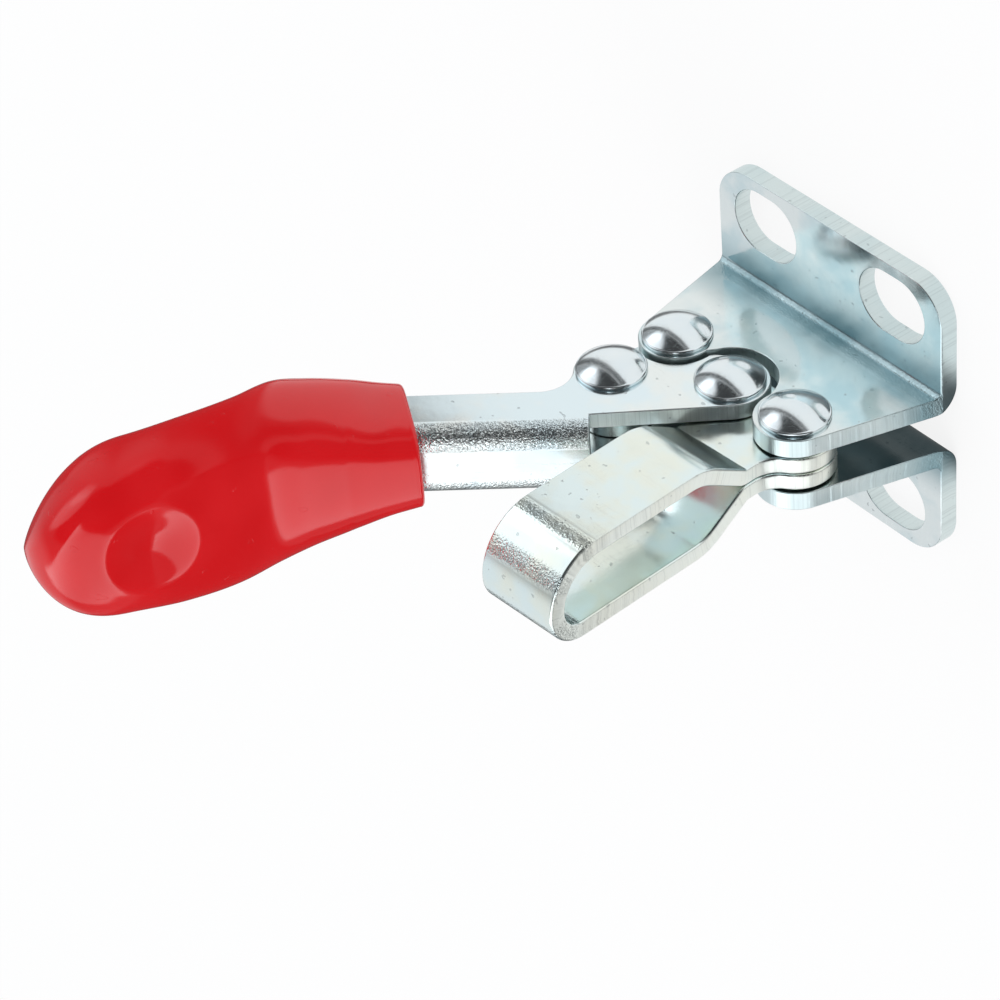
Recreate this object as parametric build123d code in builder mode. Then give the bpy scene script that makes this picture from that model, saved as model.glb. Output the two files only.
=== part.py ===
"""A small horizontal-handle toggle clamp with a U-bar and a flanged base.

The clamp is drawn open: the bar stands up from the base and the handle leans back.
+X is forward, where the bar points once the clamp is closed, +Y is the left side, and
Z=0 is the face that the base is bolted down on. All sizes are in millimetres.
"""

from build123d import *
import math
import os

# Base plates: two mirrored L brackets, each with a lobe round each of its two rivets
base_length = 24.2
base_width = 24.8
base_sheet = 1.55
base_bend_radius = 0.5
flange_corner_radius = 3.3
upright_foot_height = 1.4
bar_lobe_radius = 3.1
link_lobe_radius = 2.95
lobe_gap = 0.6
valley_side_angle = -5.0
valley_foot_angle = 205.0

# Slotted bolt holes in the two flanges
slot_spacing_x = 13.75
slot_spacing_y = 17.6
slot_length = 6.85
slot_width = 5.3

# Pivots in the side view
bar_pivot_ahead = 6.15
bar_pivot_height = 10.45
link_pivot_behind = 7.1
link_pivot_height = 10.3
arm_length = 6.615
arm_angle = 176.1
coupler_length = 8.95
coupler_angle = 142.5

# Travel from open to closed, and how far the handle and link turn for each degree of it
bar_travel = 86.5
handle_ratio = -1.62
link_ratio = 0.60

# Layers across the clamp: the bar's ends and the links share the middle one
strip_thickness = 1.4
strip_gap = 0.1
side_clearance = 0.2
cheek_side_clearance = 0.1

# U-bar
bar_angle = 86.53
bar_lobe_end_radius = 3.0
bar_shoulder_step = 2.65
bar_shoulder_radius = 2.5
bar_half_width = 3.95
bar_jog_start = 16.2
bar_jog_end = 20.2
bar_top = 35.4
bar_wide_bend_radius = 4.2
bar_crease_radius = 0.9
bar_spread_radius = 4.0

# Handle lever: a channel seen from the side, s along it and n from its open edge to its web
lever_angle = 130.98
lever_sheet = 1.35
lever_open_edge = 0.6
lever_web_face = 5.55
lever_web_start = 10.3
cheek_front_edge = 3.5
lever_outer_bend = 1.3
lever_straight = 26.0
lever_bend_angle = 22.0
lever_bend_radius = 12.0
lever_tip_length = 20.0
cheek_pivot_radius = 3.0
cheek_link_radius = 2.85
cheek_throat_radius = 2.5
cheek_notch_gap = 0.3

# Rivets
shank_radius = 1.4
pivot_clearance = 0.05
head_radius = 2.7
head_rim_height = 0.45
head_dome_height = 0.75
head_rim_radius = 0.35

# Links
link_end_radius = 2.55
link_pin_clearance = 0.15
link_eye_steps = 8

# Grip: each station is its distance along the lever, its centre line, half width,
# half thickness and corner radius
grip_fit = 0.05
thumb_station = (41.5, 10.2, 7.1, 4.95, 4.35)
grip_stations = [
    (22.0, 3.3, 4.3, 3.75, 2.8),
    (24.0, 3.45, 4.45, 3.85, 2.9),
    (27.0, 3.65, 5.45, 4.25, 3.4),
    (30.0, 4.5, 6.4, 4.5, 3.8),
    (34.0, 6.2, 7.05, 4.95, 4.3),
    (38.0, 8.6, 7.15, 5.05, 4.45),
    thumb_station,
    (44.5, 11.25, 6.8, 4.85, 4.25),
    (46.8, 11.95, 5.95, 4.35, 3.8),
    (48.7, 12.45, 4.5, 3.4, 3.0),
    (50.5, 13.1, 2.2, 1.8, 1.6),
]
grip_mouth_distance = 23.5
grip_mouth_lean = 13.0
dish_lean = 22.0
dish_radius = 3.8
dish_depth = 1.0

# Rounding that stamping and tumbling leave on the bar, and the lip of the grip
bar_edge_radius = 0.2
grip_lip_radius = 0.4

# Sizes that follow from the ones above
strip_outer = strip_gap / 2 + strip_thickness
upright_inner = strip_outer + side_clearance
upright_outer = upright_inner + base_sheet
cheek_inner = strip_outer + cheek_side_clearance
cheek_outer = cheek_inner + lever_sheet
bore_radius = shank_radius + pivot_clearance
channel_depth = lever_web_face - lever_open_edge
channel_middle = (lever_web_face + lever_open_edge) / 2
bar_leg_width = arm_length + 2 * (bar_lobe_end_radius - bar_shoulder_step)


def ahead(start, angle, distance):
    """The side-view point a distance from start, at an angle from +X towards +Z."""
    return start + Vector(distance, 0).rotate(Axis.Z, angle)


def grazing_point(start, centre, radius, side):
    """Where a line from start grazes a circle, on the left (+1) or right (-1) of its centre."""
    way_back = start - centre
    spread = math.degrees(math.acos(radius / way_back.length))
    return centre + way_back.normalized().rotate(Axis.Z, -side * spread) * radius


def side_view(y):
    """The clamp seen from its right side, drawn at a height y: local x is X, local y is Z."""
    return Plane.XZ.offset(-y)


bar_pivot = Vector(bar_pivot_ahead, bar_pivot_height)
link_pivot = Vector(-link_pivot_behind, link_pivot_height)
handle_pivot = ahead(bar_pivot, arm_angle, arm_length)
pin_pivot = ahead(handle_pivot, coupler_angle, coupler_length)
link_length = (pin_pivot - link_pivot).length
link_angle = math.degrees(math.atan2(pin_pivot.Y - link_pivot.Y, pin_pivot.X - link_pivot.X))

# Base plates: an L section, cut to the outline of the upright and rounded at the flange
foot_front = Vector(base_length / 2, upright_foot_height)
foot_rear = Vector(-base_length / 2, upright_foot_height)
notch_radius = cheek_pivot_radius + lobe_gap

with BuildPart() as base_plate_left:
    with BuildSketch(Plane.YZ.offset(-base_length / 2)) as base_section:
        with BuildLine():
            FilletPolyline(
                (upright_inner + base_sheet / 2, bar_pivot.Y + 2 * bar_lobe_radius),
                (upright_inner + base_sheet / 2, base_sheet / 2),
                (base_width / 2, base_sheet / 2),
                radius=base_bend_radius + base_sheet / 2,
            )
        trace(line_width=base_sheet)
    extrude(amount=base_length)
    with BuildSketch(side_view(base_width / 2)) as upright_outline:
        with BuildLine():
            Polyline(
                (-base_length / 2, 0),
                (base_length / 2, 0),
                foot_front,
                grazing_point(foot_front, bar_pivot, bar_lobe_radius, -1),
                bar_pivot,
                handle_pivot,
                ahead(handle_pivot, valley_foot_angle, notch_radius),
                ahead(link_pivot, valley_side_angle, link_lobe_radius),
                link_pivot,
                grazing_point(foot_rear, link_pivot, link_lobe_radius, 1),
                foot_rear,
                close=True,
            )
        make_face()
        with Locations(handle_pivot):
            Circle(notch_radius, mode=Mode.SUBTRACT)
        with Locations(bar_pivot):
            Circle(bar_lobe_radius)
        with Locations(link_pivot):
            Circle(link_lobe_radius)
    extrude(amount=base_width / 2, mode=Mode.INTERSECT)
    fillet(base_plate_left.edges().filter_by(Axis.Z).group_by(Axis.Y)[-1], flange_corner_radius)
    with BuildSketch():
        with Locations((0, slot_spacing_y / 2)):
            with GridLocations(slot_spacing_x, 0, 2, 1):
                SlotOverall(slot_length, slot_width)
    extrude(amount=base_sheet, mode=Mode.SUBTRACT)
    with BuildSketch(side_view(upright_outer)):
        with Locations(bar_pivot, link_pivot):
            Circle(bore_radius)
    extrude(amount=base_sheet, mode=Mode.SUBTRACT)

with BuildPart() as base_plate_right:
    mirror(base_plate_left.part, about=Plane.XZ)

# U-bar: the folded strip seen from the front, cut to the outline of the bar seen from the side
bar_foot = (bar_pivot + handle_pivot) * 0.5
bar_reach = bar_foot.Y / math.sin(math.radians(bar_angle))
bar_root = ahead(bar_foot, bar_angle, -bar_reach)
strip_end_middle = (strip_gap + strip_thickness) / 2
strip_leg_middle = bar_half_width - strip_thickness / 2
bar_loop_middle = bar_top - strip_thickness / 2
bar_tight_bend_radius = 2 * strip_leg_middle - bar_wide_bend_radius
front_view = Plane(
    origin=(bar_root.X, 0, bar_root.Y),
    x_dir=(0, 1, 0),
    z_dir=Vector(1, 0, 0).rotate(Axis.Y, 90 - bar_angle),
)

with BuildPart() as u_bar:
    with BuildSketch(front_view) as strip_section:
        with BuildLine():
            FilletPolyline(
                (strip_end_middle, 0),
                (strip_end_middle, bar_jog_start),
                (strip_leg_middle, bar_jog_end),
                (strip_leg_middle, bar_loop_middle - bar_wide_bend_radius),
                radius=[bar_crease_radius, bar_spread_radius],
            )
            FilletPolyline(
                (-strip_end_middle, 0),
                (-strip_end_middle, bar_jog_start),
                (-strip_leg_middle, bar_jog_end),
                (-strip_leg_middle, bar_loop_middle - bar_tight_bend_radius),
                radius=[bar_crease_radius, bar_spread_radius],
            )
            CenterArc(
                (strip_leg_middle - bar_wide_bend_radius, bar_loop_middle - bar_wide_bend_radius),
                bar_wide_bend_radius,
                0,
                90,
            )
            CenterArc(
                (bar_tight_bend_radius - strip_leg_middle, bar_loop_middle - bar_tight_bend_radius),
                bar_tight_bend_radius,
                90,
                90,
            )
        trace(line_width=strip_thickness)
    extrude(amount=arm_length + bar_lobe_end_radius, both=True)
    with BuildSketch(side_view(bar_half_width)) as bar_outline:
        with Locations(bar_foot):
            SlotCenterToCenter(arm_length, 2 * bar_lobe_end_radius, rotation=arm_angle)
            Rectangle(
                bar_leg_width,
                bar_top,
                rotation=bar_angle - 90,
                align=(Align.CENTER, Align.MIN),
            )
        shoulders = [
            bar_outline.vertices().sort_by_distance(bar_foot + Vector(reach, bar_lobe_end_radius))[0]
            for reach in (-bar_leg_width / 2, bar_leg_width / 2)
        ]
        fillet(shoulders, bar_shoulder_radius)
        with Locations(bar_pivot, handle_pivot):
            Circle(bore_radius, mode=Mode.SUBTRACT)
    extrude(amount=2 * bar_half_width, mode=Mode.INTERSECT)
    fillet(u_bar.edges(), bar_edge_radius)

# Handle lever: s runs along it from the handle pivot, n from its open edge to its web
lever_way = Vector(1, 0, 0).rotate(Axis.Y, -lever_angle)


def lever_view(y):
    """The lever seen from its left side at a height y: local x is s, local y is n."""
    return Plane(origin=(handle_pivot.X, y, handle_pivot.Y), x_dir=lever_way, z_dir=(0, 1, 0))


def lever_station(distance, middle):
    """The plane across the lever at a distance s, centred on n = middle: local y is n."""
    centre = lever_view(0).from_local_coords((distance, middle))
    return Plane(origin=centre, x_dir=(0, -1, 0), z_dir=lever_way)


def in_lever(point):
    """A side-view point as the lever's own s and n."""
    turned = (point - handle_pivot).rotate(Axis.Z, -lever_angle)
    return Vector(turned.X, -turned.Y)


pin = in_lever(pin_pivot)
throat_drop = lever_open_edge - cheek_throat_radius - pin.Y
throat_run = math.sqrt((cheek_link_radius + cheek_throat_radius) ** 2 - throat_drop**2)
throat = pin + Vector(throat_run, throat_drop)
cheek_corner = Vector(lever_web_start, cheek_front_edge)

with BuildLine() as lever_line:
    FilletPolyline(
        (lever_web_start, channel_middle),
        (lever_straight, channel_middle),
        Vector(lever_straight, channel_middle) + Vector(lever_tip_length, 0).rotate(Axis.Z, lever_bend_angle),
        radius=lever_bend_radius,
    )
lever_path = lever_view(0) * lever_line.line

with BuildPart() as handle_lever:
    with BuildSketch(lever_station(lever_web_start, channel_middle)) as channel_section:
        Rectangle(2 * cheek_outer, channel_depth)
        fillet(channel_section.vertices().group_by(Axis.Y)[-1], lever_outer_bend)
        with Locations((0, -lever_sheet)):
            Rectangle(2 * cheek_inner, channel_depth, mode=Mode.SUBTRACT)
    sweep(path=lever_path)
    with BuildSketch(lever_view(cheek_inner)) as cheek_outline:
        with BuildLine():
            CenterArc((0, 0), cheek_pivot_radius, 0, 360)
            CenterArc(pin, cheek_link_radius, 0, 360)
        make_hull()
        with BuildLine():
            Polyline(
                (0, 0),
                grazing_point(cheek_corner, Vector(0, 0), cheek_pivot_radius, -1),
                cheek_corner,
                (throat.X, cheek_front_edge),
                throat,
                pin,
                close=True,
            )
        make_face()
        with Locations(throat):
            Circle(cheek_throat_radius, mode=Mode.SUBTRACT)
        with Locations(in_lever(link_pivot)):
            Circle(link_lobe_radius + cheek_notch_gap, mode=Mode.SUBTRACT)
        with Locations((0, 0), pin):
            Circle(bore_radius, mode=Mode.SUBTRACT)
    extrude(amount=lever_sheet)
    mirror(about=Plane.XZ)


# Links: two flat plates side by side, their upper eye opened along the way that the pin takes
def pin_from_link(share):
    """The handle's pin as the link sees it, at a share of the travel."""
    turn = share * bar_travel
    carried = bar_pivot + (handle_pivot - bar_pivot).rotate(Axis.Z, -turn)
    pin_now = carried + (pin_pivot - handle_pivot).rotate(Axis.Z, -turn * (1 + handle_ratio))
    return link_pivot + (pin_now - link_pivot).rotate(Axis.Z, turn * link_ratio)


with BuildPart() as link_left:
    with BuildSketch(side_view(strip_outer)) as link_outline:
        with Locations((link_pivot + pin_pivot) * 0.5):
            SlotCenterToCenter(link_length, 2 * link_end_radius, rotation=link_angle)
        with Locations(link_pivot):
            Circle(bore_radius, mode=Mode.SUBTRACT)
    extrude(amount=strip_thickness)
    with BuildSketch(side_view(strip_outer)) as link_eye:
        with BuildLine():
            for step in range(link_eye_steps + 1):
                CenterArc(pin_from_link(step / link_eye_steps), shank_radius + link_pin_clearance, 0, 360)
        make_hull()
    extrude(amount=strip_thickness, mode=Mode.SUBTRACT)

with BuildPart() as link_right:
    mirror(link_left.part, about=Plane.XZ)

# Rivets: a shank with a low domed head on each side
rivet_places = {
    "rivet_bar_pivot": (bar_pivot, upright_outer),
    "rivet_link_base": (link_pivot, upright_outer),
    "rivet_handle_bar": (handle_pivot, cheek_outer),
    "rivet_handle_link": (pin_pivot, cheek_outer),
}
dome_run = head_radius - head_rim_radius
dome_rise = head_dome_height - head_rim_radius
dome_radius = (dome_run**2 + head_dome_height**2 - head_rim_radius**2) / (2 * dome_rise)
dome_turn = math.degrees(math.atan2(dome_run, dome_radius - head_dome_height))
rivets = []
for name, (pivot, seat) in rivet_places.items():
    rim = seat + head_rim_height
    with BuildPart() as rivet:
        with BuildSketch(Plane(origin=(pivot.X, 0, pivot.Y))):
            with BuildLine():
                Polyline((0, 0), (shank_radius, 0), (shank_radius, seat), (dome_run, seat))
                TangentArc((head_radius, rim), (dome_run, seat), tangent=(0, -1))
                CenterArc((dome_run, rim), head_rim_radius, 0, 90 - dome_turn)
                RadiusArc(
                    Vector(dome_run, rim) + Vector(head_rim_radius, 0).rotate(Axis.Z, 90 - dome_turn),
                    (0, rim + head_dome_height),
                    -dome_radius,
                )
                Line((0, rim + head_dome_height), (0, 0))
            make_face()
        revolve(axis=Axis((pivot.X, 0, pivot.Y), (0, 1, 0)))
        mirror(about=Plane.XZ)
    rivet.part.label = name
    rivets.append(rivet.part)

# Grip: a sleeve lofted round the end of the lever, with a dish for the thumb
dish_ball = (dish_radius**2 + dish_depth**2) / (2 * dish_depth)
thumb_crest = Vector(thumb_station[0], thumb_station[1] + thumb_station[3])
dish_centre = ahead(thumb_crest, 90 + dish_lean, dish_ball - dish_depth)

grip_mouth = Plane(
    origin=lever_view(0).from_local_coords((grip_mouth_distance, channel_middle)),
    z_dir=lever_way.rotate(Axis.Y, grip_mouth_lean),
)

with BuildPart() as grip:
    for distance, middle, half_width, half_depth, corner in grip_stations:
        with BuildSketch(lever_station(distance, middle)):
            RectangleRounded(2 * half_width, 2 * half_depth, corner)
    loft()
    split(bisect_by=grip_mouth, keep=Keep.TOP)
    fillet(grip.faces().sort_by_distance(grip_mouth.origin)[0].edges(), grip_lip_radius)
    with Locations(lever_view(0).from_local_coords(dish_centre)):
        Sphere(dish_ball, mode=Mode.SUBTRACT)
    with BuildSketch(lever_station(lever_web_start, channel_middle)) as grip_bore:
        Rectangle(2 * (cheek_outer + grip_fit), channel_depth + 2 * grip_fit)
        fillet(grip_bore.vertices().group_by(Axis.Y)[-1], lever_outer_bend)
    sweep(path=lever_path, mode=Mode.SUBTRACT)

parts = {
    "base_plate_left": base_plate_left.part,
    "base_plate_right": base_plate_right.part,
    "u_bar": u_bar.part,
    "handle_lever": handle_lever.part,
    "grip": grip.part,
    "link_left": link_left.part,
    "link_right": link_right.part,
}
os.makedirs("parts", exist_ok=True)
for name, piece in parts.items():
    piece.label = name
    export_step(piece, f"parts/{name}.step")
for piece in rivets:
    export_step(piece, f"parts/{piece.label}.step")
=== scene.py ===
# %% [markdown]
# # A small toggle clamp
# The clamp is a stamped and riveted tool. Two bent plates are its base, a folded strip is its
# U-bar, a channel is its lever, and a red vinyl sleeve is pushed over the lever's end. The
# solids come from CAD and stay where they are. This lesson gives them their finish, rounds their
# cut edges, makes the sleeve and the rivets again as smooth surfaces, and lights the result.

# %% Load the solids
import math

import bmesh
import bpy
import numpy as np
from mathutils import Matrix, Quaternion, Vector


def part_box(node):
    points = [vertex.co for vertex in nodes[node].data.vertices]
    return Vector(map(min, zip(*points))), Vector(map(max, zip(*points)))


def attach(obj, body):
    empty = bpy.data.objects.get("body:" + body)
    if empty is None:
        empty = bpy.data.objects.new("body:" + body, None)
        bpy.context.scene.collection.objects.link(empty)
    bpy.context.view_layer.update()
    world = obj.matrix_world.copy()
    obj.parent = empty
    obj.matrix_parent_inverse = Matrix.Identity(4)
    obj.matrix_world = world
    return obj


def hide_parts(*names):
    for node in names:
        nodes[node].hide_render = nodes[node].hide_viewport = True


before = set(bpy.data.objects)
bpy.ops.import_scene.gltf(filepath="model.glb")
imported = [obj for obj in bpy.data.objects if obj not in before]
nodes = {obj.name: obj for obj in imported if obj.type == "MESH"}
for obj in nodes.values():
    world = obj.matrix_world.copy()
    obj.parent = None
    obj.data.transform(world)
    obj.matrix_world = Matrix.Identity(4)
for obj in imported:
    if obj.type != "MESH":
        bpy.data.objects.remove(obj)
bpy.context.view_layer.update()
MM = 0.001
print("solids:", sorted(nodes))

# %% [markdown]
# ## Camera
# The clamp is seen from a few hand widths away through a long lens, so that edges which are
# parallel on it stay nearly parallel in the view. The camera is turned a quarter turn about its
# own axis, which lays the standing clamp on its side. A quaternion keeps such a turn exact,
# where three angles would be easy to mix up.

# %% Camera
camera_place_mm = Vector((175.2007, 179.7871, 156.6592))
camera_turn = Quaternion((0.84257207, -0.31815984, 0.41883440, 0.11586363))
lens = bpy.data.cameras.new("product_lens")
lens.sensor_width = 36.0
lens.lens = 141.172
lens.clip_start = 0.01
camera = bpy.data.objects.new("product_camera", lens)
camera.location = camera_place_mm * MM
camera.rotation_mode = "QUATERNION"
camera.rotation_quaternion = camera_turn
bpy.context.scene.collection.objects.link(camera)
bpy.context.scene.camera = camera
print("camera stands", round(camera_place_mm.length), "mm from the clamp")

# %% [markdown]
# ## Node helper
# Every finish below is a small program for the surface. Written with bare nodes it would be
# hundreds of lines, so one class wraps a node's output socket. Adding or multiplying two of
# them adds the Math node that does it, and the finish reads like the formula it is.


# %% Node helper
class Value:
    """One output of a finish's nodes, or what arithmetic on such outputs gives."""

    def __init__(self, finish, socket):
        self.finish = finish
        self.socket = socket

    def math(self, operation, *others):
        """The Math node that does the operation on this value and the others, in that order."""
        return self.finish.math(operation, self, *others)

    def __add__(self, other):
        return self.math("ADD", other)

    def __mul__(self, other):
        return self.math("MULTIPLY", other)

    def __sub__(self, other):
        return self.math("SUBTRACT", other)

    def __rsub__(self, other):
        return self.finish.math("SUBTRACT", other, self)

    def __truediv__(self, other):
        return self.math("DIVIDE", other)

    def __rtruediv__(self, other):
        return self.finish.math("DIVIDE", other, self)

    __radd__ = __add__
    __rmul__ = __mul__

    def between(self, low, high, start=0.0, end=1.0):
        """Goes smoothly from start to end as the value goes from low to high, and holds there."""
        settings = {"interpolation_type": "SMOOTHSTEP"}
        sockets = {"Value": self, "From Min": low, "From Max": high, "To Min": start, "To Max": end}
        return self.finish.node("ShaderNodeMapRange", settings, sockets)

    def band(self, middle, reach, soft):
        """1 within reach of the middle, falling smoothly to 0 over the width soft."""
        return (self - middle).math("ABSOLUTE").between(reach, reach + soft, 1.0, 0.0)


# %% [markdown]
# A finish is a material and the few ways of adding nodes to it. One method adds any node: its
# settings come first, because some of them change which sockets the node has, and then each
# socket gets a constant or a link. The other methods only name the nodes that come up often.


# %% Finish helper
class Finish:
    """A material with a Principled surface, and the ways of adding nodes that finishes need."""

    def __init__(self, name, **constants):
        self.material = bpy.data.materials.new(name)
        self.material.use_nodes = True
        self.tree = self.material.node_tree
        self.surface = self.tree.nodes["Principled BSDF"]
        self.surface_from(**constants)

    def node(self, kind, settings=(), sockets=(), output=0):
        """Adds a node: its settings first, then its sockets' values or links. Gives one output."""
        made = self.tree.nodes.new(kind)
        for setting, value in dict(settings).items():
            setattr(made, setting, value)
        for socket, value in dict(sockets).items():
            self.feed(find_socket(made.inputs, socket), value)
        return None if output is None else Value(self, find_socket(made.outputs, output))

    def feed(self, socket, value):
        """Links a value into a socket, or sets the socket where the value is a constant."""
        if isinstance(value, Value):
            self.tree.links.new(value.socket, socket)
        else:
            socket.default_value = value

    def surface_from(self, **values):
        """Feeds the Principled surface's sockets, with spaces written as underscores."""
        for socket, value in values.items():
            self.feed(self.surface.inputs[socket.replace("_", " ")], value)

    def math(self, operation, *terms):
        """A Math node that does the operation on the terms, in that order."""
        return self.node("ShaderNodeMath", {"operation": operation}, dict(enumerate(terms)))

    def place(self, stretch=(1, 1, 1), turn=(0, 0, 0)):
        """Object coordinates in millimetres, stretched and turned for a pattern."""
        coords = self.node("ShaderNodeTexCoord", output="Object")
        scale = tuple(share / MM for share in stretch)
        sockets = {"Vector": coords, "Rotation": turn, "Scale": scale}
        return self.node("ShaderNodeMapping", {"vector_type": "POINT"}, sockets)

    def attribute(self, name, output="Fac"):
        """A number or vector that the mesh itself carries at each point or face."""
        return self.node("ShaderNodeAttribute", {"attribute_name": name}, output=output)

    def axis(self, vector, letter):
        """One of the X, Y and Z parts of a vector."""
        return self.node("ShaderNodeSeparateXYZ", {}, {"Vector": vector}, letter)

    def noise(self, where, size, detail=2.0, rough=0.5):
        """Cloudy noise whose lumps are about size millimetres across."""
        sockets = {"Vector": where, "Scale": 1.0 / size, "Detail": detail, "Roughness": rough}
        return self.node("ShaderNodeTexNoise", {"noise_dimensions": "3D"}, sockets)

    def hairlines(self, stretch, turn, size, width, detail=1.0):
        """Fine lines, where a stretched noise crosses its middle value of a half."""
        return self.noise(self.place(stretch, turn), size, detail).band(0.5, 0.0, width)

    def mix(self, share, first, second):
        """Goes from the first colour to the second as share goes from 0 to 1."""
        sockets = {"Factor_Float": share, "A_Color": first, "B_Color": second}
        return self.node("ShaderNodeMix", {"data_type": "RGBA"}, sockets, "Result_Color")

    def bump(self, height_mm):
        """A Normal that tilts as a surface of that height, in millimetres, would."""
        return self.node("ShaderNodeBump", {}, {"Height": height_mm, "Distance": MM})


def find_socket(sockets, key):
    """A socket by its number, its identifier or its name."""
    if isinstance(key, int):
        return sockets[key]
    return next((s for s in sockets if s.identifier == key), None) or sockets[key]


def colour(red, green, blue):
    """A colour from the 0 to 255 numbers that a screen shows, as the renderer's linear light."""
    shown = np.array([red, green, blue]) / 255.0
    linear = np.where(shown <= 0.04045, shown / 12.92, ((shown + 0.055) / 1.055) ** 2.4)
    return (*linear.tolist(), 1.0)


print("a screen's 188 is", round(colour(188, 188, 188)[0], 2), "of white's light")

# %% [markdown]
# ## Finish: bright zinc
# The sheet parts are electroplated with zinc and given a clear bluish passivate. Zinc copies the
# rolled sheet below it. On flat faces it is smooth with a soft sheen. Where the sheet was bent,
# its grains stood up and the face is rough as orange peel. Where it was cut, the shear left fine
# lines straight through its thickness. Each sheet part's mesh therefore carries two things that
# the finish reads: "sheet_place", where a point was on the flat blank before folding, and
# "cut_face", 1 on the cut faces. Lines through the thickness are then simply noise on the flat
# blank, because a point keeps its place on the blank all the way through the sheet.


# %% Finish: bright zinc
def zinc(name, tints, roughness, folds, fold_grain, fold_shade=0.2, seams=(), recess=()):
    """A zinc plated sheet. Its tints are a cool one, a warm one and one for the cut faces. A
    fold is the middle and half width of a bend on the flat blank, a seam is the middle and half
    width of a line pressed along it, and a recess is the middle and reach of a shaded corner."""
    cool, warm, sheared = tints
    finish = Finish(name, Metallic=1.0)
    where = finish.place()
    blank = finish.attribute("sheet_place", "Vector")
    across_blank = finish.axis(blank, "X")
    cut = finish.attribute("cut_face").between(0.25, 0.8)

    clouds = finish.noise(where, 4.5, detail=3.0, rough=0.55)
    grain = finish.noise(where, 0.2, rough=0.65)
    peel = finish.noise(where, 0.17, detail=1.0, rough=0.6)
    specks = finish.noise(where, 0.6, detail=1.0).between(0.73, 0.76)
    shear_fine = finish.noise(blank, 0.16, detail=1.0, rough=0.6)
    shear_coarse = finish.noise(blank, 0.5, detail=1.0)
    lengthways = finish.hairlines((0.4, 0.5, 5.0), (0.3, 0.5, 0.2), size=2.0, width=0.006)
    crossways = finish.hairlines((5.0, 0.4, 0.5), (0.1, 0.9, 0.4), size=2.4, width=0.005)
    scratches = lengthways.math("MAXIMUM", crossways) * clouds.between(0.45, 0.6)

    fold_soft, seam_soft, corner_half = 0.45, 0.06, 0.4
    folded = sum(across_blank.band(middle, half, fold_soft) for middle, half in folds)
    pressed = sum(across_blank.band(middle, half, seam_soft) for middle, half in seams)
    shaded = sum(across_blank.band(middle, corner_half, reach) for middle, reach in recess)

    tint = finish.mix(cut * 0.7, finish.mix(clouds.between(0.38, 0.62), cool, warm), sheared)
    dark_lines = shear_fine.between(0.3, 0.5, 1.0, 0.0) * cut * 0.16
    # painted shade: grains in a bend are darkened by fold_shade, partly their own dull colour and
    # partly painted shade of the bend
    painted_fold_shade_grains = grain.between(0.3, 0.52, 1.0, 0.0) * folded * fold_shade
    marks_and_fold_shade = finish.mix(specks * 0.3 + dark_lines + painted_fold_shade_grains, tint, colour(112, 122, 126))
    # painted shade: round the inner corner of a bend the colour is darkened towards a deep teal,
    # mottled by the clouds
    tint_with_corner_shade = finish.mix(shaded * clouds.between(0.3, 0.7, 0.5, 0.95), marks_and_fold_shade, colour(116, 148, 156))
    height_mm = (
        grain * 0.0012
        + peel * folded * fold_grain
        + clouds * 0.03
        + (shear_fine * 0.012 + shear_coarse * 0.035) * cut
        - specks * 0.006
        - scratches * 0.0015
        - peel.between(0.35, 0.6) * pressed * 0.006
    )
    sheen = clouds.between(0.3, 0.75, roughness, roughness + 0.06)
    finish.surface_from(
        Base_Color=tint_with_corner_shade,
        Roughness=sheen + cut * 0.2 + folded * 0.04,
        Normal=finish.bump(height_mm),
    )
    print(name, "has", len(finish.tree.nodes), "nodes")
    return finish.material


# %% [markdown]
# ## Finish: polished rivet
# The rivets are cold formed, so their domes copy a polished die and shine more than the sheet.
# A low roughness with a few fine scratches is enough. A deep bump would break up the neat
# reflections that make a dome look round.

# %% Finish: polished rivet
rivet_finish = Finish("rivet_zinc", Metallic=1.0)
rivet_clouds = rivet_finish.noise(rivet_finish.place(), 1.6)
rivet_marks = rivet_finish.hairlines((5, 1, 1), (0.2, 0.7, 0.1), size=0.5, width=0.01, detail=2.0)
rivet_finish.surface_from(
    Base_Color=rivet_finish.mix(rivet_clouds, colour(220, 231, 236), colour(232, 239, 240)),
    Roughness=rivet_clouds.between(0.3, 0.7, 0.1, 0.16) + rivet_marks * 0.08,
    Normal=rivet_finish.bump(rivet_clouds * 0.012 - rivet_marks * 0.001),
)
rivet_zinc = rivet_finish.material
print("rivet finish:", rivet_zinc.name)

# %% [markdown]
# ## Finish: red vinyl
# The sleeve is soft PVC. Its colour sits in the body of the plastic below a clear skin, so its
# reflections stay white while the body is red. It is smooth but never flat: very shallow waves
# from cooling on the mould make the reflections wander a little at their edges.

# %% Finish: red vinyl
vinyl_finish = Finish("red_vinyl", IOR=1.53)
vinyl_where = vinyl_finish.place()
waves = vinyl_finish.noise(vinyl_where, 5.0, detail=1.0)
pores = vinyl_finish.noise(vinyl_where, 0.5)
dust = vinyl_finish.noise(vinyl_where, 0.9, detail=0.0).between(0.78, 0.8)
vinyl_finish.surface_from(
    Base_Color=vinyl_finish.mix(waves.between(0.3, 0.7), colour(209, 12, 19), colour(214, 16, 23)),
    Roughness=waves.between(0.3, 0.7, 0.09, 0.13) + pores * 0.02,
    Normal=vinyl_finish.bump(waves * 0.03 + pores * 0.001 + dust * 0.01),
)
red_vinyl = vinyl_finish.material
print("sleeve finish:", red_vinyl.name)

# %% [markdown]
# ## The flat blank
# Every sheet part here was cut flat and then folded, so it is a line in one plane carried along
# an axis. Given that line, the nearest point on it tells how far along the blank any point of
# the part lay, and the line's normal there tells which faces are cut faces.


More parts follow.
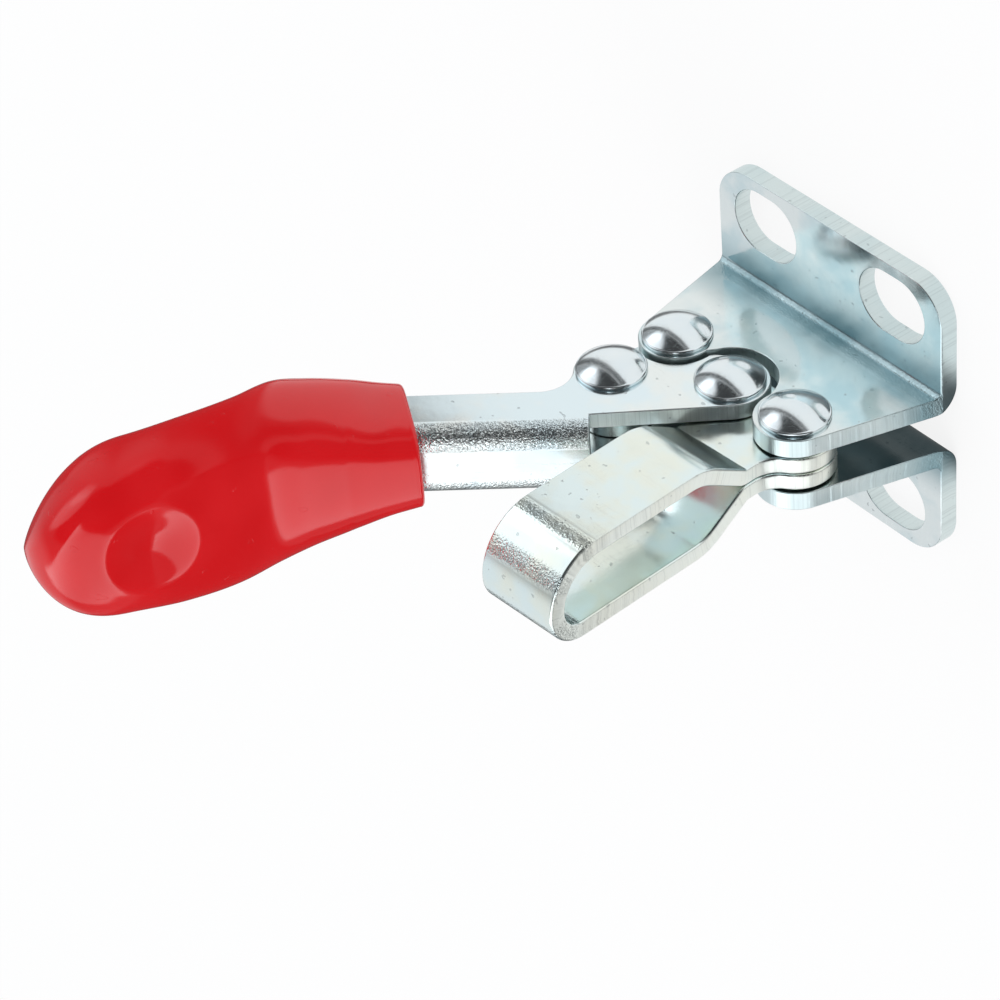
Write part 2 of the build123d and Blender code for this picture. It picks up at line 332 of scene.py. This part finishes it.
# %% The folded line
def folded_line(corners, radii, arc_steps=10):
    """The middle line of a folded sheet: straight runs between corners, each inner corner
    rounded by an arc that touches both runs at radius / tan(half the opening) from the corner."""
    corners = np.array(corners, float)
    parts = [corners[:1]]
    for before, corner, after, radius in zip(corners, corners[1:], corners[2:], radii):
        back = (before - corner) / np.linalg.norm(before - corner)
        forth = (after - corner) / np.linalg.norm(after - corner)
        half_open = math.acos(float(back @ forth)) / 2
        middle = corner + (back + forth) / np.linalg.norm(back + forth) * radius / math.sin(half_open)
        start = corner + back * radius / math.tan(half_open) - middle
        end = corner + forth * radius / math.tan(half_open) - middle
        swing = math.pi - 2 * half_open
        share = np.linspace(0, 1, arc_steps)[:, None]
        arc = (np.sin((1 - share) * swing) * start + np.sin(share * swing) * end) / math.sin(swing)
        parts.append(middle + arc)
    return np.concatenate([*parts, corners[-1:]])


def line_length(line):
    """The sum of a line's steps."""
    return float(np.linalg.norm(np.diff(line, axis=0), axis=1).sum())


square_bend = folded_line([(0, 5), (0, 0), (5, 0)], [1])
print("two runs of 5 mm with a bend of radius 1 are", round(line_length(square_bend), 2), "mm long")


# %% Marks on the mesh
def on_blank(line, flat):
    """For points in the fold's plane: how far along the line they lie, and its normal there."""
    step = np.diff(line, axis=0)
    length = np.linalg.norm(step, axis=1)
    offset = flat[:, None, :] - line[None, :-1, :]
    share = np.clip((offset * step).sum(axis=2) / length**2, 0, 1)
    gap = np.linalg.norm(offset - share[..., None] * step, axis=2)
    nearest = gap.argmin(axis=1)
    rows = np.arange(len(flat))
    before = np.concatenate([[0.0], np.cumsum(length)])[nearest]
    normal = np.stack([-step[nearest, 1], step[nearest, 0]], axis=1) / length[nearest, None]
    return before + share[rows, nearest] * length[nearest], normal


def rows_of(items, what):
    """One vector from each point or face of a mesh, as rows."""
    flat = np.empty(len(items) * 3)
    items.foreach_get(what, flat)
    return flat.reshape(-1, 3)


def mark_blank(mesh, line, origin, axes):
    """Writes sheet_place on the points and cut_face on the faces of a folded sheet. The first
    two axes span the fold's plane, and the third is the one that the line is carried along."""
    across, up, axis = axes
    points = rows_of(mesh.vertices, "co") / MM - origin
    place, _ = on_blank(line, np.stack([points @ across, points @ up], axis=1))
    spot = np.stack([place, points @ axis, np.zeros(len(place))], axis=1)
    mesh.attributes.new("sheet_place", "FLOAT_VECTOR", "POINT").data.foreach_set("vector", spot.ravel())
    middles = rows_of(mesh.polygons, "center") / MM - origin
    _, normal = on_blank(line, np.stack([middles @ across, middles @ up], axis=1))
    sheet_normal = normal[:, :1] * across + normal[:, 1:] * up
    cut = 1 - np.abs((rows_of(mesh.polygons, "normal") * sheet_normal).sum(axis=1))
    mesh.attributes.new("cut_face", "FLOAT", "FACE").data.foreach_set("value", cut)


print("marks are sheet_place on points and cut_face on faces")

# %% [markdown]
# ## Sheet parts with rounded edges
# A stamped blank is tumbled before plating, which takes the sharpness off every edge, and that
# narrow rounding is what catches a line of light along it. The solids of the plates and the
# lever have sharp edges, so each is copied, its loose triangles are joined into one skin, and a
# Bevel modifier rounds only the corners that are sharper than a set angle. The U-bar's solid
# has its rounding already, so its copy gets none.


# %% Sheet parts with rounded edges
WELD_MM = 0.002
FLAT_DEG = 0.5
SMOOTH_DEG = 32
CORNER_DEG = 35


def sheet_part(node, body, material, line, origin, axes, edge_mm):
    """A copy of a CAD sheet part whose sharp edges are rounded over by edge_mm."""
    loose = bmesh.new()
    loose.from_mesh(nodes[node].data)
    bmesh.ops.remove_doubles(loose, verts=loose.verts, dist=WELD_MM * MM)
    flat_angle = math.radians(FLAT_DEG)
    bmesh.ops.dissolve_limit(loose, angle_limit=flat_angle, verts=loose.verts, edges=loose.edges)
    mesh = bpy.data.meshes.new(f"{node}_sheet")
    loose.to_mesh(mesh)
    loose.free()
    mesh.shade_smooth()
    mesh.set_sharp_from_angle(angle=math.radians(SMOOTH_DEG))
    mark_blank(mesh, line, np.array(origin, float), np.array(axes, float))
    piece = bpy.data.objects.new(f"{node}_sheet", mesh)
    bpy.context.scene.collection.objects.link(piece)
    if edge_mm:
        bevel = piece.modifiers.new("tumbled_edge", "BEVEL")
        bevel.width = edge_mm * MM
        bevel.segments = 3
        bevel.limit_method = "ANGLE"
        bevel.angle_limit = math.radians(CORNER_DEG)
        bevel.use_clamp_overlap = True
        bevel.harden_normals = True
    mesh.materials.append(material)
    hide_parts(node)
    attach(piece, body)
    print(piece.name, "faces:", len(mesh.polygons))


# %% [markdown]
# Each base plate is an L: an upright that holds the rivets and a flange that is bolted down. Its
# middle line runs down the upright, round the bend and out along the flange. The right plate is
# the left one's mirror twin, so only the direction across changes.

# %% Base plates
PLATE_BEND = 12.1
plate_zinc = zinc(
    "plate_zinc",
    (colour(203, 220, 223), colour(226, 233, 232), colour(206, 220, 220)),
    roughness=0.12,
    folds=[(PLATE_BEND, 0.9)],
    fold_grain=0.03,
    recess=[(PLATE_BEND, 4.5)],
)
plate_line = folded_line([(2.425, 14.0), (2.425, 0.775), (12.4, 0.775)], [1.275])
for node, side in (("base_plate_left", 1), ("base_plate_right", -1)):
    plate_axes = ((0, side, 0), (0, 0, 1), (1, 0, 0))
    sheet_part(node, "base", plate_zinc, plate_line, (0, 0, 0), plate_axes, edge_mm=0.5)

# %% [markdown]
# The U-bar is one strip. Its ends lie together between the plates, spread apart over a short
# slope, and run up as two legs to the round end of the U. The line follows the strip from one
# end to the other, so both legs and the bend share one blank.

# %% U-bar
PIVOT_HEIGHT = 10.675
bar_lean = math.radians(86.53)
bar_up = np.array([math.cos(bar_lean), 0.0, math.sin(bar_lean)])
bar_ahead = np.array([math.sin(bar_lean), 0.0, -math.cos(bar_lean)])
bar_root = np.array([2.8501, 0.0, PIVOT_HEIGHT]) - bar_up * (PIVOT_HEIGHT / math.sin(bar_lean))
one_leg = [(0.75, 0), (0.75, 16.2), (3.25, 20.2), (3.25, 34.7)]
other_leg = [(-across, height) for across, height in reversed(one_leg)]
bar_line = folded_line(one_leg + other_leg, [0.9, 4.0, 4.2, 2.3, 4.0, 0.9])
bar_zinc = zinc(
    "bar_zinc",
    (colour(226, 240, 240), colour(234, 240, 230), colour(240, 242, 234)),
    roughness=0.17,
    folds=[(32.0, 0.2), (35.0, 0.45), (39.5, 1.0)],
    fold_grain=0.06,
    fold_shade=0.3,
)
bar_axes = ((0, 1, 0), bar_up, bar_ahead)
sheet_part("u_bar", "bar", bar_zinc, bar_line, bar_root, bar_axes, edge_mm=0.0)
print("U-bar blank is", round(line_length(bar_line), 1), "mm long")

# %% [markdown]
# The lever is a channel: two cheeks and the web that joins them. Its two long folds lie the same
# way to either side of the middle of its blank, and two faint lines from the press run along
# the web between them.

# %% Handle lever
lever_tilt = math.radians(130.98)
handle_pivot = np.array([-0.4497, 0.0, 10.8999])
along = np.array([math.cos(lever_tilt), 0.0, math.sin(lever_tilt)])
outward = np.array([math.sin(lever_tilt), 0.0, -math.cos(lever_tilt)])
sideways = np.array([0.0, 1.0, 0.0])
lever_corners = [(2.225, -9.0), (2.225, 4.875), (-2.225, 4.875), (-2.225, -9.0)]
lever_line = folded_line(lever_corners, [0.63, 0.63])
lever_half = line_length(lever_line) / 2
lever_zinc = zinc(
    "lever_zinc",
    (colour(224, 238, 242), colour(234, 240, 238), colour(226, 234, 234)),
    roughness=0.17,
    folds=[(lever_half - 2.15, 0.5), (lever_half + 2.15, 0.5)],
    fold_grain=0.1,
    fold_shade=0.5,
    seams=[(lever_half - 0.05, 0.05), (lever_half + 0.77, 0.12)],
)
lever_axes = (sideways, outward, along)
sheet_part("handle_lever", "handle", lever_zinc, lever_line, handle_pivot, lever_axes, edge_mm=0.16)

# %% [markdown]
# The two links lie between the plates and the cheeks, where only their ends can be seen. Their
# solids are shape enough, so they just get the plates' finish.

# %% Links
for name in ("link_left", "link_right"):
    nodes[name].data.materials.clear()
    nodes[name].data.materials.append(plate_zinc)
    print(name, "keeps its solid")

# %% [markdown]
# ## Grip
# The sleeve is flat where the palm closes on it, swells towards its end, and has a round dish
# for the thumb. Its shape is a rounded section carried along the lever: at each distance along
# it there is a centre line, a half width, a half thickness and a corner size. Smooth curves
# through a few stations give all of them, so the whole skin is one grid of points.

# %% Grip stations
# distance along the lever, centre line, half width, half thickness, corner radius
stations = np.array([
    [23.8, 2.85, 3.85, 4.25, 2.4],
    [25.5, 3.15, 4.2, 4.45, 2.6],
    [28.0, 3.75, 5.2, 4.6, 3.2],
    [31.0, 4.5, 6.2, 4.7, 3.75],
    [33.5, 5.5, 7.0, 4.5, 3.8],
    [36.0, 7.4, 7.25, 4.2, 3.6],
    [40.0, 9.55, 7.0, 4.4, 3.5],
    [44.0, 11.05, 6.15, 5.0, 3.3],
    [51.2, 13.2, 6.0, 5.15, 3.2],
])
grip_mouth, grip_end = stations[0, 0], stations[-1, 0]
nose_start = 44.0


def smooth_through(places, values, wanted):
    """A cubic through the stations whose slope at each is the mean slope to its neighbours."""
    slopes = np.gradient(values, places, axis=0)
    left = np.clip(np.searchsorted(places, wanted) - 1, 0, len(places) - 2)
    gap = places[left + 1] - places[left]
    t = ((wanted - places[left]) / gap)[:, None]
    gap = gap[:, None]
    return (
        values[left] * (2 * t**3 - 3 * t**2 + 1)
        + slopes[left] * gap * (t**3 - 2 * t**2 + t)
        + values[left + 1] * (3 * t**2 - 2 * t**3)
        + slopes[left + 1] * gap * (t**3 - t**2)
    )


print("grip stations:", len(stations), "from", grip_mouth, "to", grip_end, "mm")

# %% [markdown]
# The end of the sleeve closes to a blunt nose. The palm side stays full for longer and then
# turns over quickly, while the other side tapers. The mouth is cut at a slant, so its first
# rings lean, and the lean fades out over a few millimetres.


# %% Grip skin
def grip_skin(body_rings=150, nose_rings=50, around_count=240, squareness=2.6, fade=4.0):
    """Rings of points from the mouth to the nose. A ring is an ellipse of the corner radius
    pushed out sideways and in depth by tanh steps, which makes a rounded box. Past the nose's
    start t goes from 0 to 1 as the sine of a turn. Sizes there shrink as
    (1 - t ** 2.2) ** 0.8, and the palm side's depth as (1 - t ** 3) ** 0.66."""
    body = np.linspace(grip_mouth, nose_start, body_rings)
    t = np.sin(np.linspace(0, math.pi / 2, nose_rings + 1)[1:])
    distance = np.concatenate([body, nose_start + (grip_end - nose_start) * t])
    taper = np.concatenate([np.ones(body_rings), np.maximum(1 - t**2.2, 0) ** 0.8])[:, None]
    fuller = np.concatenate([np.ones(body_rings), np.maximum(1 - t**3.0, 0) ** 0.66])[:, None]
    sizes = smooth_through(stations[:, 0], stations[:, 1:], distance)
    centre, half_width, half_depth, corner = sizes.T[:, :, None]
    turn = np.linspace(0.0, 2 * math.pi, around_count, endpoint=False)[None, :]
    side_push, depth_push = (
        np.tanh(squareness * wave(turn)) / math.tanh(squareness) for wave in (np.cos, np.sin)
    )
    across = taper * ((half_width - corner) * side_push + corner * np.cos(turn))
    depth = (half_depth - corner) * depth_push + corner * np.sin(turn)
    depth = depth * np.where(depth > 0, fuller, taper)
    slant = math.tan(math.radians(13.0))
    mouth_middle = 3.07
    near_mouth = np.clip(1 - (distance - grip_mouth) / fade, 0, 1)[:, None]
    lean = slant * (centre + depth - mouth_middle) * near_mouth
    return np.stack([distance[:, None] - lean, centre + depth, across], axis=-1)


body_and_nose = grip_skin()
print("rings and points round each:", body_and_nose.shape[:2])

# %% [markdown]
# The thumb dish is pressed into that skin, and a rim turned in at the mouth gives the sleeve a
# wall to look into. Both only move or add points, so the skin stays one closed grid.


# %% Thumb dish and mouth
def press_dish(skin, middle=(41.5, 14.8, 0.5), radius=3.8, dip=0.75, ridge=0.1, ridge_width=0.8):
    """Presses the thumb dish: a cosine dip of that radius, with a low ring round its edge. It
    leans as the palm side does, and points below the palm side stay where they are."""
    lean = math.radians(27.0)
    palm_side_from = 9.0
    s, n, y = skin[..., 0], skin[..., 1], skin[..., 2]
    flat = (s - middle[0]) * math.cos(lean) + (n - middle[1]) * math.sin(lean)
    away = np.hypot(flat, y - middle[2])
    height = ridge * np.exp(-(((away - radius) / ridge_width) ** 2))
    height = height - dip * 0.5 * (1 + np.cos(math.pi * np.minimum(away / radius, 1)))
    height = height * (n > palm_side_from)
    return skin + height[..., None] * np.array([-math.sin(lean), math.cos(lean), 0.0])


def turn_in_mouth(skin, lip=0.4, wall=1.3, deep=2.0, lip_steps=6):
    """Adds rings before the first: round the lip, across the wall, and back inside."""
    first = skin[0]
    inward = first.mean(axis=0) - first
    inward /= np.linalg.norm(inward, axis=1, keepdims=True)
    back = np.array([-1.0, 0.0, 0.0])
    turn = np.linspace(0, math.pi / 2, lip_steps + 1)[1:, None, None]
    round_lip = first + lip * (1 - np.cos(turn)) * inward + lip * np.sin(turn) * back
    inner = round_lip[-1] + (wall - lip) * inward
    return np.concatenate([(inner - deep * back)[None], inner[None], round_lip[::-1], skin])


sleeve = turn_in_mouth(press_dish(body_and_nose))
print("sleeve is a grid of", sleeve.shape[:2], "points")

# %% [markdown]
# A grid of rings becomes a mesh when each ring is joined to the next by quads. The last ring
# of the nose has no size, so its points are merged into one and the skin is closed there.


# %% Grip mesh
def ring_mesh(name, points, material, merge_mm=0.0005):
    """A mesh from rings of points, each joined to the next, its last ring drawn to a point."""
    rings, around = points.shape[:2]
    index = np.arange(rings * around).reshape(rings, around)
    beside = np.roll(index, -1, axis=1)
    quads = np.stack([index[:-1], beside[:-1], beside[1:], index[1:]], axis=-1).reshape(-1, 4)
    mesh = bpy.data.meshes.new(name)
    mesh.vertices.add(rings * around)
    mesh.vertices.foreach_set("co", (points.reshape(-1, 3) * MM).ravel())
    mesh.loops.add(quads.size)
    mesh.loops.foreach_set("vertex_index", quads.ravel())
    mesh.polygons.add(len(quads))
    mesh.polygons.foreach_set("loop_start", np.arange(0, quads.size, 4))
    mesh.update(calc_edges=True)
    sealed = bmesh.new()
    sealed.from_mesh(mesh)
    bmesh.ops.remove_doubles(sealed, verts=sealed.verts, dist=merge_mm * MM)
    bmesh.ops.recalc_face_normals(sealed, faces=sealed.faces)
    sealed.to_mesh(mesh)
    sealed.free()
    mesh.shade_smooth()
    mesh.materials.append(material)
    return mesh


def place_piece(name, mesh, node, body):
    """Shows a mesh in place of a CAD node, riding on a body."""
    piece = bpy.data.objects.new(name, mesh)
    bpy.context.scene.collection.objects.link(piece)
    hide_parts(node)
    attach(piece, body)
    print(name, "faces:", len(mesh.polygons))


sleeve_axes = np.stack([along, outward, sideways])
grip_mesh = ring_mesh("grip_sleeve", handle_pivot + sleeve @ sleeve_axes, red_vinyl)
place_piece("grip_sleeve", grip_mesh, "grip", "handle")

# %% [markdown]
# ## Rivets
# A rivet's head is a shallow dome on a thin rim, and a dome looks round only where its normals
# turn evenly. The solid's mesh is a fan of long triangles, so each rivet is made again as a
# lathe surface: one profile carried round the pivot, with the same reach as the solid.


# %% Rivets
def rivet_profile(seat, reach, head=2.7, rim=0.36, edge=0.12, shank=1.4, dome_steps=40, edge_steps=7):
    """Radius and height from the tip of one head to the tip of the other. The dome is an arc of
    radius (run * run + rise * rise) / (2 * rise), the rim's edges are quarter rounds, and the
    lower half is the upper half mirrored."""
    run, rise = head - edge, reach - seat - rim
    ball = (run**2 + rise**2) / (2 * rise)
    sweep = np.linspace(0, math.asin(run / ball), dome_steps)
    dome = np.stack([ball * np.sin(sweep), reach - ball + ball * np.cos(sweep)], axis=1)
    quarter = np.linspace(0, math.pi / 2, edge_steps)
    edge_cos, edge_sin = edge * np.cos(quarter), edge * np.sin(quarter)
    round_in = np.stack([run + edge_sin, seat + rim - edge + edge_cos], axis=1)
    round_out = np.stack([run + edge_cos, seat + edge - edge_sin], axis=1)
    half = np.concatenate([dome, round_in[1:], round_out, [[shank, seat], [shank, 0.0]]])
    return np.concatenate([half, half[-2::-1] * (1, -1)])


def lathe(profile, middle, around_count=96):
    """Points of a profile of radii and heights carried round the Y axis through the middle."""
    turn = np.linspace(0, 2 * math.pi, around_count, endpoint=False)
    ring = np.stack([np.cos(turn), np.zeros(around_count), np.sin(turn)], axis=1)
    return middle + profile[:, :1, None] * ring + profile[:, 1:, None] * sideways


HEAD_HEIGHT = 1.2
rivet_bodies = {
    "rivet_bar_pivot": "base",
    "rivet_link_base": "base",
    "rivet_handle_bar": "handle",
    "rivet_handle_link": "handle",
}
for node, body in rivet_bodies.items():
    low, high = (np.array(corner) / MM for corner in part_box(node))
    reach = (high[1] - low[1]) / 2
    skin = lathe(rivet_profile(reach - HEAD_HEIGHT, reach), (low + high) / 2)
    turned = f"{node}_turned"
    place_piece(turned, ring_mesh(turned, skin, rivet_zinc), node, body)
    print(node, "reaches", round(float(reach), 2), "mm each way")

# %% [markdown]
# ## Floor
# The clamp stands on white paper. Seen straight, the paper glows plain white and takes only a
# little shading, so the view stays clean but keeps a soft shadow. Mirrored in the metal and the
# vinyl, its glow is painted light: a painted pool of light close to the clamp, a painted shadow
# in the narrow gap below it, and a painted fall-off to a dim grey further out. It stands in for
# real paper, which the clamp and its soft boxes light only near it, and this fall-off is what
# makes the polished parts look like metal. The paper lies a twentieth of a millimetre below the
# mounting face, so they never share a plane.

# %% Floor
FLOOR_HALF = 1.5
FLOOR_DROP = 5e-5
floor_corners = [
    (x * FLOOR_HALF, y * FLOOR_HALF, -FLOOR_DROP) for x, y in ((-1, -1), (1, -1), (1, 1), (-1, 1))
]
floor_mesh = bpy.data.meshes.new("paper")
floor_mesh.from_pydata(floor_corners, [], [(0, 1, 2, 3)])
floor = bpy.data.objects.new("paper", floor_mesh)
bpy.context.scene.collection.objects.link(floor)

paper = Finish("paper", Roughness=0.9, Base_Color=colour(244, 244, 244))
paper_seen = paper.node("ShaderNodeLightPath", output="Is Camera Ray")
paper_mirrored = paper.node("ShaderNodeLightPath", output="Is Glossy Ray")
spot = paper.place()
from_clamp = {0: spot, 1: (0, 0, 0)}
away = paper.node("ShaderNodeVectorMath", {"operation": "DISTANCE"}, from_clamp, "Value")
sideways_mm = paper.axis(spot, "Y")
# painted light: in mirrors the paper glows brightest near the clamp, has a painted shadow in the gap
# under it and fades further out
painted_glow_near_clamp = away.between(66, 82, 1.0, 0.25) * away.between(84, 112, 1.0, 0.35)
painted_shadow_under_clamp = sideways_mm.math("ABSOLUTE").between(2.6, 6.0, 0.15, 1.0)
painted_glow_far = away.between(140, 320, 0.0, 0.3) * sideways_mm.between(0, 80)
painted_mirror_glow = painted_glow_near_clamp * painted_shadow_under_clamp + painted_glow_far
glow_strength = paper_mirrored * painted_mirror_glow + (1 - paper_mirrored)
glow = paper.node("ShaderNodeEmission", {}, {"Color": (1, 1, 1, 1), "Strength": glow_strength})
lit = Value(paper, paper.surface.outputs[0])
glow_share = paper_seen * 0.86 + paper_mirrored * 0.97
shown_paper = paper.node("ShaderNodeMixShader", {}, {"Fac": glow_share, 1: lit, 2: glow})
paper.feed(paper.tree.nodes["Material Output"].inputs["Surface"], shown_paper)
floor_mesh.materials.append(paper.material)
print("floor is", 2 * FLOOR_HALF, "m wide")

# %% [markdown]
# ## Lamps
# Two soft boxes give the shading and the shadow. Metal would show their hard rectangles, so they
# are hidden from mirrored rays, and the surroundings below hold the cards that metal shows.


# %% Lamps
def soft_box(name, direction, width, height, power, distance=0.9, aim_height=0.02):
    """An area lamp that stands in a direction from the clamp and faces it."""
    lamp = bpy.data.lights.new(name, "AREA")
    lamp.shape = "RECTANGLE"
    lamp.size = width
    lamp.size_y = height
    lamp.energy = power
    stand = bpy.data.objects.new(name, lamp)
    way = Vector(direction).normalized()
    stand.location = way * distance + Vector((0, 0, aim_height))
    stand.rotation_mode = "QUATERNION"
    stand.rotation_quaternion = way.to_track_quat("Z", "Y")
    stand.visible_glossy = False
    bpy.context.scene.collection.objects.link(stand)
    print(name, "gives", power, "W")


soft_box("palm_side_box", (0.607, -0.607, 0.512), 0.5, 0.36, 1.0)
soft_box("rear_box", (-0.592, 0.43, 0.68), 0.4, 0.4, 0.4)

# %% [markdown]
# ## Surroundings
# What metal shows is mostly the room. Here the room is a smooth function of direction: dim grey
# all round, with a pale card to the rear for the plates, one beside the bar's bend, a bright
# upright box on the palm side, a small window for the rivets and a darker side behind the
# viewer. Seen straight it is plain white, and matt surfaces get an even pale light from it.


# %% Surroundings
class Studio(Finish):
    """The surroundings' nodes, added in the same ways as a finish's."""

    def __init__(self, name):
        self.world = bpy.data.worlds.new(name)
        self.world.use_nodes = True
        self.tree = self.world.node_tree
        self.tree.nodes.clear()

    def towards(self, direction):
        """How nearly a ray points in a direction: 1 when it does, 0 at right angles."""
        way = self.node("ShaderNodeTexCoord", output="Generated")
        settings, sockets = {"operation": "DOT_PRODUCT"}, {0: way, 1: Vector(direction).normalized()}
        return self.node("ShaderNodeVectorMath", settings, sockets, "Value")


studio = Studio("studio")
rear_card = studio.towards((-0.592, -0.607, 0.529)).between(0.7, 0.92)
bar_card = studio.towards((-0.592, 0.643, 0.485)).between(0.87, 0.95)
window = studio.towards((-0.68, 0.72, 0.14)).between(0.972, 0.988)
dark_side = studio.towards((0.5, 0.75, 0.42)).between(0.35, 0.62)
print("cards: rear, bar, window and dark side")

# %% [markdown]
# The palm box is a tall card that widens towards its top. It is measured by how far a ray leans
# across it and up it, and the ray's lean across is compared with the box's width at that height.

# %% Palm box and light levels
box_front = studio.towards((0.62, -0.6, 0.5)).between(0.4, 0.5)
box_across = studio.towards((0.695, 0.719, 0.0)) - 0.05
box_up = studio.towards((-0.359, 0.347, 0.866))
box_foot, box_foot_half_width, box_spread = -0.42, 0.28, 0.4
box_half_width = (box_up - box_foot) * box_spread + box_foot_half_width
palm_box = (box_across / box_half_width).band(0.0, 1.0, 0.1) * box_up.band(0.05, 0.48, 0.03)
palm_light = palm_box * box_front * (0.95 + box_up * box_up * 6.0)
level = 0.34 + rear_card * 0.55 + bar_card + window * 0.6 + palm_light - dark_side * 0.32
room_mirrored = studio.node("ShaderNodeLightPath", output="Is Glossy Ray")
room_seen = studio.node("ShaderNodeLightPath", output="Is Camera Ray")
strength = room_mirrored * level.math("MAXIMUM", 0.05) + (1 - room_mirrored) * 0.98
room_light = {"Color": colour(250, 252, 255), "Strength": strength}
room = studio.node("ShaderNodeBackground", {}, room_light)
white = studio.node("ShaderNodeBackground", {}, {"Color": (1, 1, 1, 1), "Strength": 1.0})
shown_room = studio.node("ShaderNodeMixShader", {}, {"Fac": room_seen, 1: room, 2: white})
studio.node("ShaderNodeOutputWorld", {}, {"Surface": shown_room}, None)
bpy.context.scene.world = studio.world
bpy.context.scene.view_settings.view_transform = "Standard"
print("surroundings have", len(studio.tree.nodes), "nodes")

# %% [markdown]
# ## End
# The finished pieces must stay the size of the solids. This cell only prints that the script has
# run to its end.

# %% End
print("script has run to its end")
